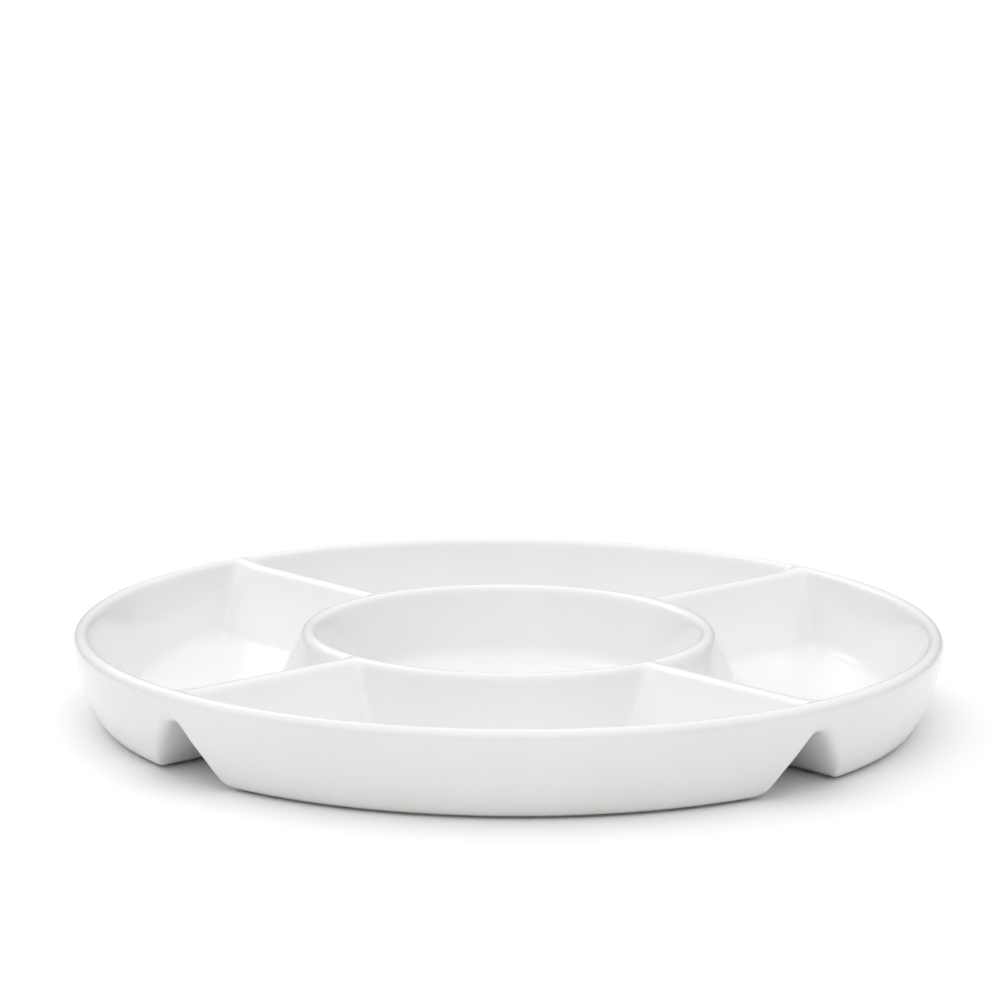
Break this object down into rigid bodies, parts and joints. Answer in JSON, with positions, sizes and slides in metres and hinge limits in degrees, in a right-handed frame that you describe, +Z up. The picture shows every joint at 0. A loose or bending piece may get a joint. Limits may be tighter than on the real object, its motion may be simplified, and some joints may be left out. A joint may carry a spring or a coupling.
{
  "type": "chip and dip server",
  "caption": "Round low ceramic dish with a middle dip bowl and a ring of trays between radial dividers; the dividers are folds, open below as finger gaps.",
  "frame": {"origin": "centre of the foot rings' faces, on the table", "axes": "+Z up along the dish's axis; -Y towards the front tray, +X towards the right tray; the dividers lie at 45 degrees between them"},
  "size_m": [0.33, 0.33, 0.0344],
  "materials": {
    "white_glaze": "gloss white glaze",
    "bare_clay": "unglazed, fired and wiped clean"
  },
  "bodies": {
    "root": {"centre_dip_bowl": "white_glaze", "chip_tray_front": "white_glaze", "chip_tray_right": "white_glaze", "chip_tray_back": "white_glaze", "chip_tray_left": "white_glaze", "outer_rim": "white_glaze", "bowl_rim": "white_glaze", "divider_ridge_front_left": "white_glaze", "divider_ridge_front_right": "white_glaze", "divider_ridge_back_right": "white_glaze", "divider_ridge_back_left": "white_glaze", "foot_ring_front": "bare_clay", "foot_ring_right": "bare_clay", "foot_ring_back": "bare_clay", "foot_ring_left": "bare_clay", "foot_ring_centre": "bare_clay"}
  },
  "joints": []
}
